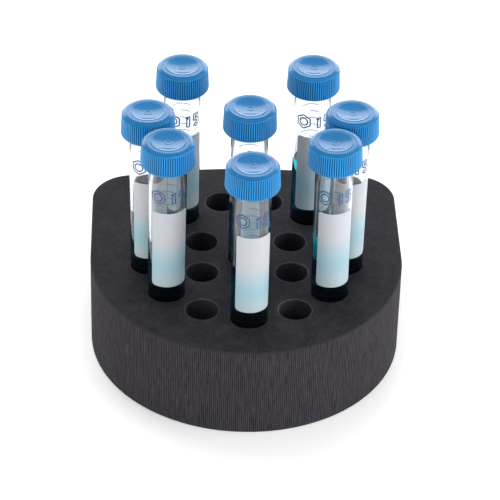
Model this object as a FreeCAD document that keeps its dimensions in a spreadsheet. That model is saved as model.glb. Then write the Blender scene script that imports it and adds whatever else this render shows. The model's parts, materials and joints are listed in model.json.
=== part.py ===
import FreeCAD, Part
import math
import os

import Sketcher

# Foam test tube rack: a D-shaped foam block with twenty wells, and eight screw-cap tubes standing in it.
# Millimetres, +Z up, rounded front toward -Y. The origin is on the surface that the block rests on,
# under the centre of the two rings of wells.

os.makedirs("parts", exist_ok=True)
doc = FreeCAD.newDocument("FoamTubeRack")

# driving dimensions

dimensions = {
    "blockRadius": 68.0,  # round front, and half the width
    "blockBack": 68.0,  # ring centre to the middle of the back
    "blockHeight": 42.9,
    "cornerRadius": 18.2,  # rear corners
    "backBow": 253.0,  # radius of the slightly bowed back
    "outerFoam": 4.39,  # between neighbouring tubes in the outer ring
    "innerFoam": 6.4,  # between the centre tube and one in the inner ring
    "wellGrip": 2.0,  # an empty well is this much narrower than a tube
    "wellOverrun": 2.0,  # a tube's well is cut this far past both faces
    "seatGap": 0.15,  # between a tube and the foam stretched round it
    "tipLift": 0.4,  # a tube's tip above the surface that the block rests on
    "tubeDiameter": 16.0,
    "tubeWall": 1.0,
    "tubeLength": 117.9,
    "coneLength": 22.0,
    "tipRadius": 2.6,
    "tipRound": 1.8,
    "tipFloor": 1.5,  # thickness of the tip's floor
    "tipBoreRadius": 2.1,
    "threadPitch": 3.0,
    "threadRunout": 0.9,  # tube's mouth down to the upper end of its ridge
    "threadHeight": 0.85,  # out from the tube's wall
    "threadSpace": 0.25,  # crest of either ridge to the wall facing it
    "ridgeSink": 0.25,  # root of either ridge inside the wall that it stands on
    "ridgeBase": 1.3,
    "ridgeTip": 0.6,
    "capHeight": 10.9,
    "capWall": 2.0,
    "capSpace": 0.4,  # between two caps that lean apart
    "ribDepth": 0.4,
    "ribCount": 72,
    "ribWidth": 0.55,
    "ribMargin": 0.35,  # plain edge under the ribs
    "capRoof": 1.8,
    "shoulderWidth": 1.3,
    "shoulderDrop": 0.9,
    "rimWidth": 2.8,  # flat ring between the shoulder and the dish
    "dishDepth": 1.0,
    "capThreadStart": 1.1,  # skirt's lower edge up to the lower end of its ridge
    "capThreadRunout": 2.3,  # liner down to the upper end of the skirt's ridge
    "linerThickness": 0.8,
    "linerGap": 0.05,
    "linerSpace": 0.2,  # liner's edge to the skirt
    "labelBottom": 8.0,  # above the block
    "labelHeight": 38.5,
    "labelSpan": 122.0,  # degrees round the tube
    "labelTurn": -79.0,  # degrees, where the label's middle faces
    "labelThickness": 0.1,
    "liquidGap": 0.03,
    # liquid levels above the block, tube by tube
    "fill_1": 28.0,
    "fill_2": 30.5,
    "fill_3": 30.0,
    "fill_4": 31.5,
    "fill_5": 31.5,
    "fill_6": 29.0,
    "fill_7": 28.2,
    "fill_8": 30.0,
}

sheet = doc.addObject("Spreadsheet::Sheet", "Dimensions")
for row, (alias, value) in enumerate(dimensions.items(), start=1):
    sheet.set(f"A{row}", alias)
    sheet.set(f"B{row}", str(value))
    sheet.setAlias(f"B{row}", alias)
doc.recompute()

# sizes and heights shared by the pieces, as expressions of the sheet
blockTop = "Dimensions.blockHeight"
mouth = "(Dimensions.tipLift + Dimensions.tubeLength)"
linerBottom = f"({mouth} + Dimensions.linerGap)"
linerTop = f"({linerBottom} + Dimensions.linerThickness)"
roofUnder = f"({linerTop} + Dimensions.linerGap)"
capTop = f"({roofUnder} + Dimensions.capRoof)"
capBottom = f"({capTop} - Dimensions.capHeight)"
tubeRadius = "(Dimensions.tubeDiameter / 2)"
boreRadius = "(Dimensions.tubeDiameter / 2 - Dimensions.tubeWall)"
tubeCrest = f"({tubeRadius} + Dimensions.threadHeight)"
capCrest = f"({tubeRadius} + Dimensions.threadSpace)"
capBore = f"({tubeCrest} + Dimensions.threadSpace)"
skirtRadius = f"({capBore} + Dimensions.capWall)"
capRadius = f"({skirtRadius} + Dimensions.ribDepth)"
rimRadius = f"({skirtRadius} - Dimensions.shoulderWidth)"
dishRadius = f"({rimRadius} - Dimensions.rimWidth)"

# The skirt's ridge starts at a set height. The tube's ridge runs half a pitch above the same helix,
# so that the two never meet at any turn of the cap.
capRidgeStart = f"({capBottom} + Dimensions.capThreadStart)"
tubeRidgeStart = f"({capRidgeStart} + Dimensions.threadPitch / 2)"
capRidgeEnd = f"({linerBottom} - Dimensions.capThreadRunout - Dimensions.ridgeBase / 2)"
tubeRidgeEnd = f"({mouth} - Dimensions.threadRunout - Dimensions.ridgeBase / 2)"

# Neighbours in the outer ring stand closer than two caps are wide. Where both of a pair are in use,
# the tubes lean apart about the middle of the foam, just enough for the caps to clear.
outerCount = 13
innerCount = 6
outerPitch = "(Dimensions.tubeDiameter + Dimensions.outerFoam)"
outerRing = f"({outerPitch} / (2 * sin(180 deg / {outerCount})))"
innerRing = "(Dimensions.tubeDiameter + Dimensions.innerFoam)"
pivotHeight = f"({blockTop} / 2)"
capShift = f"max(0; {capRadius} + Dimensions.capSpace / 2 - {outerPitch} / 2)"
leanAngle = f"asin({capShift} / ({capBottom} - {pivotHeight}))"

# where the wells are: each seat is its ring, its angle and the direction that its tube leans in
outerOccupied = (0, 2, 3, 5, 8, 10, 11)
crowdedPairs = ((2, 3), (10, 11))
outerStep = 360 / outerCount
leans = {}
for earlier, later in crowdedPairs:
    leans[later] = (earlier + later) / 2 * outerStep
    leans[earlier] = leans[later] + 180
outerSeats = [(outerRing, step * outerStep - 90, leans.get(step)) for step in range(outerCount)]
innerSeats = [(innerRing, step * 360 / innerCount - 90, None) for step in range(innerCount)]
centreSeat = ("0", 0, None)
tubeSeats = [outerSeats[step] for step in outerOccupied] + [centreSeat]
emptySeats = [seat for step, seat in enumerate(outerSeats) if step not in outerOccupied] + innerSeats


def seatExpressions(seat):
    ring, angle, _ = seat
    return f"{ring} * cos({angle} deg)", f"{ring} * sin({angle} deg)"


# helpers

origin = -1  # geometry number of a sketch's own origin point
verticalAxis = -2


def originPlane(body, role):
    return [feature for feature in body.Origin.OriginFeatures if feature.Role == role][0]


def newSketch(body, name, role):
    sketch = body.newObject("Sketcher::SketchObject", name)
    sketch.AttachmentSupport = [(originPlane(body, role), "")]
    sketch.MapMode = "FlatFace"
    return sketch


def bind(sketch, constraint, expression):
    number = sketch.addConstraint(constraint)
    sketch.setExpression(f"Constraints[{number}]", expression)


def outline(sketch, corners):
    # closed outline of straight edges: a rough ring of corners, each then placed by two expressions
    count = len(corners)
    turn = 2 * math.pi / count
    starts = [FreeCAD.Vector(20 + 5 * math.cos(step * turn), 20 + 5 * math.sin(step * turn), 0) for step in range(count)]
    for step in range(count):
        sketch.addGeometry(Part.LineSegment(starts[step], starts[(step + 1) % count]), False)
    for step in range(count):
        sketch.addConstraint(Sketcher.Constraint("Coincident", step, 2, (step + 1) % count, 1))
    for step, (across, up) in enumerate(corners):
        bind(sketch, Sketcher.Constraint("DistanceX", origin, 1, step, 1, starts[step].x), across)
        bind(sketch, Sketcher.Constraint("DistanceY", origin, 1, step, 1, starts[step].y), up)


def turned(body, name, corners):
    # solid turned about the Z axis from an outline in the XZ plane
    sketch = newSketch(body, f"{name}Profile", "XZ_Plane")
    outline(sketch, corners)
    solid = body.newObject("PartDesign::Revolution", name)
    solid.Profile = sketch
    solid.ReferenceAxis = (sketch, ["V_Axis"])
    solid.Angle = 360
    sketch.Visibility = False
    return solid


def helicalRidge(body, name, root, crest, start, end):
    # ridge of trapezoid section, right-handed, rising from start to end
    sketch = newSketch(body, f"{name}Profile", "XZ_Plane")
    halfBase = "Dimensions.ridgeBase / 2"
    halfTip = "Dimensions.ridgeTip / 2"
    outline(sketch, [
        (root, f"{start} - {halfBase}"),
        (crest, f"{start} - {halfTip}"),
        (crest, f"{start} + {halfTip}"),
        (root, f"{start} + {halfBase}"),
    ])
    doc.recompute()
    ridge = body.newObject("PartDesign::AdditiveHelix", name)
    ridge.Profile = sketch
    ridge.ReferenceAxis = (sketch, ["V_Axis"])
    ridge.Mode = "pitch-turns-angle"
    ridge.setExpression("Pitch", "Dimensions.threadPitch")
    ridge.setExpression("Turns", f"({end} - {start}) / Dimensions.threadPitch")
    ridge.Angle = 0
    sketch.Visibility = False
    return ridge


def newBody(label):
    body = doc.addObject("PartDesign::Body", label)
    body.Label = label
    return body


def place(feature, seat, placement=".Placement", start="0"):
    # stand a feature in its seat: start is the height, before leaning, of the feature's own origin
    across, along = seatExpressions(seat)
    lean = seat[2]
    if lean is None:
        feature.setExpression(f"{placement}.Base.x", across)
        feature.setExpression(f"{placement}.Base.y", along)
        feature.setExpression(f"{placement}.Base.z", start)
        return
    hinge = FreeCAD.Vector(-math.sin(math.radians(lean)), math.cos(math.radians(lean)), 0)
    setattr(feature, placement[1:], FreeCAD.Placement(FreeCAD.Vector(), FreeCAD.Rotation(hinge, 1)))
    reach = f"({pivotHeight} - {start})"
    feature.setExpression(f"{placement}.Base.x", f"{across} - sin({leanAngle}) * cos({lean} deg) * {reach}")
    feature.setExpression(f"{placement}.Base.y", f"{along} - sin({leanAngle}) * sin({lean} deg) * {reach}")
    feature.setExpression(f"{placement}.Base.z", f"{pivotHeight} - cos({leanAngle}) * {reach}")
    feature.setExpression(f"{placement}.Rotation.Angle", leanAngle)


# foam block


def makeBlock():
    body = newBody("foam_block")
    plan = newSketch(body, "BlockPlan", "XY_Plane")
    radius = dimensions["blockRadius"]
    corner = dimensions["cornerRadius"]
    bow = dimensions["backBow"]
    bowCentre = dimensions["blockBack"] - bow
    cornerAcross = radius - corner
    cornerAlong = bowCentre + math.sqrt((bow - corner) ** 2 - cornerAcross**2)
    swing = math.atan2(cornerAlong - bowCentre, cornerAcross)

    def arc(x, y, reach, first, last):
        circle = Part.Circle(FreeCAD.Vector(x, y, 0), FreeCAD.Vector(0, 0, 1), reach)
        return plan.addGeometry(Part.ArcOfCircle(circle, first, last), False)

    def line(x0, y0, x1, y1):
        return plan.addGeometry(Part.LineSegment(FreeCAD.Vector(x0, y0, 0), FreeCAD.Vector(x1, y1, 0)), False)

    front = arc(0, 0, radius, math.pi, 2 * math.pi)
    right = line(radius, 0, radius, cornerAlong)
    rightCorner = arc(cornerAcross, cornerAlong, corner, 0, swing)
    back = arc(0, bowCentre, bow, swing, math.pi - swing)
    leftCorner = arc(-cornerAcross, cornerAlong, corner, math.pi - swing, math.pi)
    left = line(-radius, cornerAlong, -radius, 0)
    edges = [front, right, rightCorner, back, leftCorner, left]
    for step, edge in enumerate(edges):
        plan.addConstraint(Sketcher.Constraint("Tangent", edge, 2, edges[(step + 1) % len(edges)], 1))
    plan.addConstraint(Sketcher.Constraint("Coincident", front, 3, origin, 1))
    plan.addConstraint(Sketcher.Constraint("Vertical", right))
    plan.addConstraint(Sketcher.Constraint("Vertical", left))
    plan.addConstraint(Sketcher.Constraint("PointOnObject", back, 3, verticalAxis))
    plan.addConstraint(Sketcher.Constraint("Equal", rightCorner, leftCorner))
    bind(plan, Sketcher.Constraint("Radius", front, radius), "Dimensions.blockRadius")
    bind(plan, Sketcher.Constraint("Radius", rightCorner, corner), "Dimensions.cornerRadius")
    bind(plan, Sketcher.Constraint("Radius", back, bow), "Dimensions.backBow")
    bind(
        plan,
        Sketcher.Constraint("DistanceY", back, 3, origin, 1, -bowCentre),
        "Dimensions.backBow - Dimensions.blockBack",
    )
    doc.recompute()
    block = body.newObject("PartDesign::Pad", "Block")
    block.Profile = plan
    block.setExpression("Length", blockTop)
    plan.Visibility = False
    doc.recompute()

    # circles in a rough row, each then placed by expressions
    wells = newSketch(body, "EmptyWellPlan", "XY_Plane")
    for number, seat in enumerate(emptySeats):
        across, along = seatExpressions(seat)
        spot = FreeCAD.Vector(10 * number, 0, 0)
        circle = wells.addGeometry(Part.Circle(spot, FreeCAD.Vector(0, 0, 1), 4), False)
        bind(wells, Sketcher.Constraint("DistanceX", origin, 1, circle, 3, spot.x), across)
        bind(wells, Sketcher.Constraint("DistanceY", origin, 1, circle, 3, spot.y), along)
        bind(wells, Sketcher.Constraint("Radius", circle, 4), f"{tubeRadius} - Dimensions.wellGrip / 2")
    doc.recompute()
    pocket = body.newObject("PartDesign::Pocket", "EmptyWells")
    pocket.Profile = wells
    pocket.Reversed = True
    pocket.setExpression("Length", blockTop)
    wells.Visibility = False
    doc.recompute()
    for number, seat in enumerate(tubeSeats, start=1):
        well = body.newObject("PartDesign::SubtractiveCylinder", f"TubeWell{number}")
        well.AttachmentSupport = [(originPlane(body, "XY_Plane"), "")]
        well.MapMode = "FlatFace"
        well.setExpression("Radius", f"{tubeRadius} + Dimensions.seatGap")
        well.setExpression("Height", f"{blockTop} + 2 * Dimensions.wellOverrun")
        place(well, seat, ".AttachmentOffset", "(-Dimensions.wellOverrun)")
        doc.recompute()
    return body


# tube: conical tip, straight wall, ridge for the cap


def makeTube():
    body = newBody("tube_1")
    tip = "Dimensions.tipLift"
    shoulder = "(Dimensions.tipLift + Dimensions.coneLength)"
    floor = "(Dimensions.tipLift + Dimensions.tipFloor)"
    turned(body, "TubeWall", [
        ("0", tip),
        ("Dimensions.tipRadius", tip),
        (tubeRadius, shoulder),
        (tubeRadius, mouth),
        (boreRadius, mouth),
        (boreRadius, shoulder),
        ("Dimensions.tipBoreRadius", floor),
        ("0", floor),
    ])
    doc.recompute()
    ridgeRoot = f"{tubeRadius} - Dimensions.ridgeSink"
    helicalRidge(body, "TubeThread", ridgeRoot, tubeCrest, tubeRidgeStart, tubeRidgeEnd)
    doc.recompute()
    tipEdges = []
    for number, edge in enumerate(body.Tip.Shape.Edges, start=1):
        box = edge.BoundBox
        flat = box.ZLength < 1e-6 and abs(box.ZMin - dimensions["tipLift"]) < 1e-6
        if flat and isinstance(edge.Curve, Part.Circle):
            tipEdges.append(f"Edge{number}")
    rounding = body.newObject("PartDesign::Fillet", "TipRound")
    rounding.Base = (body.Group[-2], tipEdges)
    rounding.setExpression("Radius", "Dimensions.tipRound")
    doc.recompute()
    return body


# screw cap: ribbed skirt, inner ridge, dished top


def makeCap():
    body = newBody("cap_1")
    shoulder = f"{capTop} - Dimensions.shoulderDrop"
    turned(body, "CapShell", [
        ("0", capTop),
        ("0", roofUnder),
        (capBore, roofUnder),
        (capBore, capBottom),
        (skirtRadius, capBottom),
        (skirtRadius, shoulder),
        (rimRadius, capTop),
    ])
    doc.recompute()
    ribPlan = newSketch(body, "RibPlan", "XY_Plane")
    halfWidth = "Dimensions.ribWidth / 2"
    ribRoot = f"{skirtRadius} - Dimensions.ribDepth"
    outline(ribPlan, [
        (ribRoot, f"-{halfWidth}"),
        (skirtRadius, f"-{halfWidth}"),
        (capRadius, f"-{halfWidth} / 2"),
        (capRadius, f"{halfWidth} / 2"),
        (skirtRadius, halfWidth),
        (ribRoot, halfWidth),
    ])
    ribPlan.setExpression(".AttachmentOffset.Base.z", f"{capBottom} + Dimensions.ribMargin")
    doc.recompute()
    rib = body.newObject("PartDesign::Pad", "Rib")
    rib.Profile = ribPlan
    rib.setExpression("Length", "Dimensions.capHeight - Dimensions.shoulderDrop - 2 * Dimensions.ribMargin")
    ribPlan.Visibility = False
    doc.recompute()
    ribs = body.newObject("PartDesign::PolarPattern", "Ribs")
    ribs.Originals = [rib]
    ribs.Axis = (ribPlan, ["N_Axis"])
    ribs.Angle = 360
    ribs.setExpression("Occurrences", "Dimensions.ribCount")
    body.Tip = ribs
    doc.recompute()
    ridgeRoot = f"{capBore} + Dimensions.ridgeSink"
    helicalRidge(body, "CapThread", ridgeRoot, capCrest, capRidgeStart, capRidgeEnd)
    doc.recompute()
    dish = body.newObject("PartDesign::SubtractiveSphere", "Dish")
    ball = f"(({dishRadius} ^ 2 + Dimensions.dishDepth ^ 2) / (2 * Dimensions.dishDepth))"
    dish.AttachmentSupport = [(originPlane(body, "XY_Plane"), "")]
    dish.MapMode = "FlatFace"
    dish.setExpression("Radius", ball)
    dish.setExpression(".AttachmentOffset.Base.z", f"{capTop} - Dimensions.dishDepth + {ball}")
    doc.recompute()
    return body


# liner, label and liquid


def makeLiner():
    body = newBody("liner_1")
    linerRadius = f"({capBore} - Dimensions.linerSpace)"
    turned(body, "LinerDisc", [
        ("0", linerBottom),
        (linerRadius, linerBottom),
        (linerRadius, linerTop),
        ("0", linerTop),
    ])
    return body


def makeLabel():
    body = newBody("label_1")
    low = f"{blockTop} + Dimensions.labelBottom"
    high = f"{low} + Dimensions.labelHeight"
    skin = f"{tubeRadius} + Dimensions.labelThickness"
    wrapped = turned(body, "LabelSheet", [(tubeRadius, low), (skin, low), (skin, high), (tubeRadius, high)])
    wrapped.Midplane = True
    wrapped.setExpression("Angle", "Dimensions.labelSpan")
    profile = wrapped.Profile[0]
    profile.AttachmentOffset = FreeCAD.Placement(FreeCAD.Vector(), FreeCAD.Rotation(FreeCAD.Vector(0, 1, 0), 1))
    profile.setExpression(".AttachmentOffset.Rotation.Angle", "Dimensions.labelTurn")
    return body


def makeLiquid(number):
    body = newBody(f"liquid_{number}")
    inside = f"({boreRadius} - Dimensions.liquidGap)"
    floor = "(Dimensions.tipLift + Dimensions.tipFloor + Dimensions.liquidGap)"
    shoulder = "(Dimensions.tipLift + Dimensions.coneLength)"
    level = f"{blockTop} + Dimensions.fill_{number}"
    turned(body, "Liquid", [
        ("0", floor),
        ("Dimensions.tipBoreRadius - Dimensions.liquidGap", floor),
        (inside, shoulder),
        (inside, level),
        ("0", level),
    ])
    return body


def copyOf(first, label):
    body = newBody(label)
    body.BaseFeature = first
    return body


# build every piece

pieces = [makeBlock()]
firstOnes = {"tube": makeTube(), "cap": makeCap(), "liner": makeLiner(), "label": makeLabel()}
doc.recompute()
for number, seat in enumerate(tubeSeats, start=1):
    for kind, first in firstOnes.items():
        piece = first if number == 1 else copyOf(first, f"{kind}_{number}")
        pieces.append(piece)
    pieces.append(makeLiquid(number))
doc.recompute()
for number, seat in enumerate(tubeSeats, start=1):
    for piece in pieces:
        if piece.Label.endswith(f"_{number}"):
            place(piece, seat)
doc.recompute()

# check and write

for feature in doc.Objects:
    if "Invalid" in feature.State or "Error" in feature.State:
        raise RuntimeError(f"{feature.Name} failed: {feature.State}")
for piece in pieces:
    shape = piece.Shape
    if shape.isNull() or not shape.isValid() or len(shape.Solids) != 1:
        raise RuntimeError(f"{piece.Label} has no valid single solid")
for piece in pieces:
    piece.Shape.exportStep(f"parts/{piece.Label}.step")
    print(piece.Label, round(piece.Shape.Volume, 1), "mm3")
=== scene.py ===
import json
import math

import bmesh
import bpy
import numpy as np
from mathutils import Matrix, Vector
from mathutils.geometry import delaunay_2d_cdt


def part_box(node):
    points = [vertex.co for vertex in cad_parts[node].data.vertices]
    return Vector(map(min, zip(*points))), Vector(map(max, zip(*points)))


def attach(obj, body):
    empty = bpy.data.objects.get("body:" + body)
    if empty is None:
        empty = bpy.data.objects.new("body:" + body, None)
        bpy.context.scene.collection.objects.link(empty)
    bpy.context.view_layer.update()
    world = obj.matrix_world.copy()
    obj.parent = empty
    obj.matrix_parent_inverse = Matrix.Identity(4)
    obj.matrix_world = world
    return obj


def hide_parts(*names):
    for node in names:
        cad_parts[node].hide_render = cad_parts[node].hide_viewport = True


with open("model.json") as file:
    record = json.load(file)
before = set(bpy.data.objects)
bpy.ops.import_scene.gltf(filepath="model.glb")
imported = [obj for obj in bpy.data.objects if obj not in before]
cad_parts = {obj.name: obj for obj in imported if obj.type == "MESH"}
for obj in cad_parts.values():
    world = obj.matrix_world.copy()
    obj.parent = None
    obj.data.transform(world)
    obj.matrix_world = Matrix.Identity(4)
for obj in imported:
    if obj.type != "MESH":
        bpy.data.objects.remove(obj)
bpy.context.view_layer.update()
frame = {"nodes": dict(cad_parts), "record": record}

# Foam test tube rack with eight screw-cap tubes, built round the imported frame.
# Metres, +Z up, round front to -Y.
mm = 0.001
record = frame["record"]
tubeCount = sum(1 for node in frame["nodes"] if node.startswith("tube_"))
tubeNumbers = range(1, tubeCount + 1)


def nodeBox(node):
    low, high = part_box(node)
    return np.array(low), np.array(high)


def standing(number):
    # turn matrix and foot of the tube's axis: they carry an upright tube at the origin into its well
    joints = {joint["name"]: joint for joint in record["behaviour"]["joints"]}
    axis = np.array(joints[f"tube_{number}_lift"]["axis"])
    spot = np.array(joints[f"cap_{number}_turn"]["pos_m"])
    seat = spot + axis * (pivotHeight - spot[2]) / axis[2]
    turn = Vector((0, 0, 1)).rotation_difference(Vector(axis)).to_matrix()
    return np.array(turn), seat - axis * pivotHeight


def stand(number, points):
    turn, foot = standing(number)
    return np.asarray(points) @ turn.T + foot


def heightsOf(kind):
    # bottom and top of a piece of tube 1, which stands upright; every tube has the same
    low, high = nodeBox(f"{kind}_1")
    return low[2], high[2]


def liquidLevel(number):
    # top of the liquid before its tube leans: the box's top less the rise of its tilted rim
    turn, _ = standing(number)
    top = nodeBox(f"liquid_{number}")[1][2]
    rim = (tubeLook["radius"] - tubeLook["wall"]) * math.sqrt(max(0, 1 - turn[2, 2] ** 2))
    return pivotHeight + (top - rim - pivotHeight) / turn[2, 2]


pivotHeight = nodeBox("foam_block")[1][2] / 2


def ringAngles(count):
    return np.arange(count) * 2 * math.pi / count


def ease(low, high, value):
    # 0 below low, 1 above high, and a smooth cubic between
    share = np.clip((value - low) / (high - low), 0, 1)
    return share * share * (3 - 2 * share)


def roundPoints(radius, height):
    # points of a surface about Z: radius and height are rows by columns, a column for each angle
    radius, height = np.broadcast_arrays(radius, height)
    turn = ringAngles(radius.shape[1])
    return np.stack([radius * np.cos(turn), radius * np.sin(turn), height], -1).reshape(-1, 3)


def bandFaces(rows, columns, first=0):
    # quads of a grid whose columns close on themselves, facing out where the rows run upward
    row, column = np.meshgrid(np.arange(rows - 1), np.arange(columns), indexing="ij")
    beside = (column + 1) % columns
    low, high = row * columns, (row + 1) * columns
    corners = [low + column, low + beside, high + beside, high + column]
    return (np.stack(corners, -1).reshape(-1, 4) + first).tolist()


def insideOut(faces):
    # the same quads, each with its corners in reverse order
    return np.array(faces)[:, ::-1].tolist()


def fanFaces(pole, ring, columns, below):
    # triangles from a pole to a ring: below says that the pole comes before the ring's row
    column = np.arange(columns)
    beside = (column + 1) % columns
    apex = np.full(columns, pole)
    order = [apex, ring + beside, ring + column] if below else [apex, ring + column, ring + beside]
    return np.stack(order, -1).tolist()


def stepFaces(fine, fineCount, coarse, coarseCount, inward):
    # one face for each coarse column, joined to the several fine columns beside it
    each = fineCount // coarseCount
    column = np.arange(coarseCount)
    fineRun = (column[:, None] * each + np.arange(each + 1)) % fineCount + fine
    ends = np.stack([coarse + (column + 1) % coarseCount, coarse + column], -1)
    faces = np.concatenate([fineRun, ends], 1)
    return (faces if inward else faces[:, ::-1]).tolist()


def arcRows(centre, reach, first, last, count):
    # radius and height of points on an arc in the profile, angles in degrees from outward to upward
    turn = np.radians(np.linspace(first, last, count))
    return np.stack([centre[0] + reach * np.cos(turn), centre[1] + reach * np.sin(turn)], -1)


def makePiece(name, points, faces, body, finish, creaseDegrees=35, stands=()):
    mesh = bpy.data.meshes.new(name)
    mesh.from_pydata(np.asarray(points).tolist(), [], faces)
    mesh.validate()
    mesh.shade_smooth()
    mesh.set_sharp_from_angle(angle=math.radians(creaseDegrees))
    piece = bpy.data.objects.new(name, mesh)
    bpy.context.scene.collection.objects.link(piece)
    mesh.materials.append(finish)
    if stands:
        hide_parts(*stands)
    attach(piece, body)
    return piece


def helixRidge(turn, height, ridge):
    # share of a helical ridge's depth at each angle and height: a trapezoid across, fading out at both ends
    share = np.zeros(np.broadcast_shapes(turn.shape, height.shape))
    for lap in range(math.ceil(ridge["turns"]) + 1):
        progress = turn / (2 * math.pi) + lap
        away = np.abs(height - (ridge["start"] + ridge["pitch"] * progress))
        across = np.clip((ridge["base"] / 2 - away) / (ridge["base"] / 2 - ridge["tip"] / 2), 0, 1)
        ends = ease(0, ridge["fade"], progress) * ease(0, ridge["fade"], ridge["turns"] - progress)
        share = np.maximum(share, across * ends)
    return share


def newMaterial(name):
    material = bpy.data.materials.new(name)
    material.use_nodes = True
    nodes = material.node_tree.nodes
    return material, nodes, material.node_tree.links, nodes["Principled BSDF"]


def objectNoise(nodes, links, scale, detail, roughness=0.5, stretch=(1, 1, 1)):
    place = nodes.new("ShaderNodeTexCoord")
    mapping = nodes.new("ShaderNodeMapping")
    mapping.inputs["Scale"].default_value = stretch
    noise = nodes.new("ShaderNodeTexNoise")
    noise.inputs["Scale"].default_value = scale
    noise.inputs["Detail"].default_value = detail
    noise.inputs["Roughness"].default_value = roughness
    links.new(place.outputs["Object"], mapping.inputs["Vector"])
    links.new(mapping.outputs["Vector"], noise.inputs["Vector"])
    return noise.outputs["Fac"]


def ramp(nodes, links, source, stops, smooth=True):
    blend = nodes.new("ShaderNodeValToRGB")
    blend.color_ramp.interpolation = "EASE" if smooth else "LINEAR"
    elements = blend.color_ramp.elements
    while len(elements) < len(stops):
        elements.new(0.5)
    for element, (place, colour) in zip(elements, stops):
        element.position = place
        element.color = (*colour, 1) if len(colour) == 3 else colour
    links.new(source, blend.inputs["Fac"])
    return blend.outputs["Color"]


def bump(nodes, links, shader, height, strength, distance, before=None):
    node = nodes.new("ShaderNodeBump")
    node.inputs["Strength"].default_value = strength
    node.inputs["Distance"].default_value = distance
    links.new(height, node.inputs["Height"])
    if before:
        links.new(before, node.inputs["Normal"])
    links.new(node.outputs["Normal"], shader.inputs["Normal"])
    return node.outputs["Normal"]


def mixed(nodes, links, first, second, share):
    node = nodes.new("ShaderNodeMix")
    node.inputs["Factor"].default_value = share
    links.new(first, node.inputs["A"])
    links.new(second, node.inputs["B"])
    return node.outputs["Result"]


def mapRange(nodes, links, source, low, high, toLow, toHigh):
    node = nodes.new("ShaderNodeMapRange")
    node.inputs["From Min"].default_value = low
    node.inputs["From Max"].default_value = high
    node.inputs["To Min"].default_value = toLow
    node.inputs["To Max"].default_value = toHigh
    links.new(source, node.inputs["Value"])
    return node.outputs["Result"]


foamLook = dict(
    skin=[(0.0175, 0.016, 0.0195), (0.038, 0.0345, 0.0415)],
    cut=[(0.010, 0.009, 0.0108), (0.062, 0.056, 0.067)],
    bored=[(0.026, 0.025, 0.029), (0.048, 0.046, 0.054)],
    # rim: lighter tones for the rounded top edge of each well, a painted highlight
    rim=[(0.045, 0.043, 0.052), (0.085, 0.080, 0.095)],
    cellScale=1500, mottleScale=130, streakScale=4600, streakStretch=(1, 1, 0.03), blotchScale=420,
    blotchShare=0.12, cellShare=0.45, linePitch=0.86 * mm, lineShare=0.36,
    roughness=(0.85, 0.97), specular=0.12, cellRelief=0.4, streakRelief=0.5, reliefDepth=0.0002,
)


def sideLines(nodes, links, pitch):
    # fine upright lines: a sine of the distance along the side, which the block's own UV map holds
    along = nodes.new("ShaderNodeUVMap")
    along.uv_map = "alongSide"
    split = nodes.new("ShaderNodeSeparateXYZ")
    turns = nodes.new("ShaderNodeMath")
    turns.operation = "MULTIPLY"
    turns.inputs[1].default_value = 2 * math.pi / pitch
    wave = nodes.new("ShaderNodeMath")
    wave.operation = "SINE"
    links.new(along.outputs["UV"], split.inputs["Vector"])
    links.new(split.outputs["X"], turns.inputs[0])
    links.new(turns.outputs["Value"], wave.inputs[0])
    return mapRange(nodes, links, wave.outputs["Value"], -1, 1, 0.3, 0.7)


def foamMaterial(name, tones, streaked):
    # closed-cell foam: mottled where it has its skin, streaked down the face where it was cut
    material, nodes, links, shader = newMaterial(name)
    look = foamLook
    mottle = objectNoise(nodes, links, look["mottleScale"], 6, 0.65)
    cells = objectNoise(nodes, links, look["cellScale"], 3)
    if streaked:
        pattern = objectNoise(nodes, links, look["streakScale"], 3, 0.6, look["streakStretch"])
        blotch = objectNoise(nodes, links, look["blotchScale"], 4, 0.6)
        lines = sideLines(nodes, links, look["linePitch"])
        streaks = mixed(nodes, links, pattern, blotch, look["blotchShare"])
        source = mixed(nodes, links, streaks, lines, look["lineShare"])
    else:
        source = mixed(nodes, links, mottle, cells, look["cellShare"])
    links.new(ramp(nodes, links, source, [(0.34, tones[0]), (0.64, tones[1])]), shader.inputs["Base Color"])
    links.new(mapRange(nodes, links, mottle, 0.3, 0.7, *look["roughness"]), shader.inputs["Roughness"])
    shader.inputs["Specular IOR Level"].default_value = look["specular"]
    cellBump = bump(nodes, links, shader, cells, look["cellRelief"], look["reliefDepth"])
    if streaked:
        bump(nodes, links, shader, pattern, look["streakRelief"], look["reliefDepth"], cellBump)
    return material


# painted shade: a dark blue that the grooves between the ribs and the cap's top are mixed toward, and how far
# the top is mixed toward it
capLook = dict(
    ridge=[(0.011, 0.295, 0.70), (0.016, 0.325, 0.76)], paintedShadeColour=(0.001, 0.026, 0.10), paintedTopShade=0.52,
    grainScale=900, cloudScale=60, roughness=(0.14, 0.22), specular=0.34,
)


def capMaterial():
    # saturated blue moulded plastic, with painted shade in the grooves between the ribs and on the top
    material, nodes, links, shader = newMaterial("blueCapPlastic")
    look = capLook
    grain = objectNoise(nodes, links, look["grainScale"], 4, 0.6)
    cloud = objectNoise(nodes, links, look["cloudScale"], 4)
    plain = ramp(nodes, links, cloud, [(0.3, look["ridge"][0]), (0.7, look["ridge"][1])])
    shade = nodes.new("ShaderNodeAttribute")
    shade.attribute_name = "paintedGrooveAndTopShade"
    tint = nodes.new("ShaderNodeMix")
    tint.data_type = "RGBA"
    links.new(shade.outputs["Fac"], tint.inputs["Factor"])
    links.new(plain, tint.inputs["A"])
    tint.inputs["B"].default_value = (*look["paintedShadeColour"], 1)
    links.new(tint.outputs["Result"], shader.inputs["Base Color"])
    links.new(mapRange(nodes, links, grain, 0.3, 0.7, *look["roughness"]), shader.inputs["Roughness"])
    shader.inputs["Specular IOR Level"].default_value = look["specular"]
    bump(nodes, links, shader, grain, 0.05, 0.00005)
    return material


clearLook = dict(tint=(0.90, 0.93, 0.96), ior=1.49, hazeScale=300, roughness=(0.01, 0.05))


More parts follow.
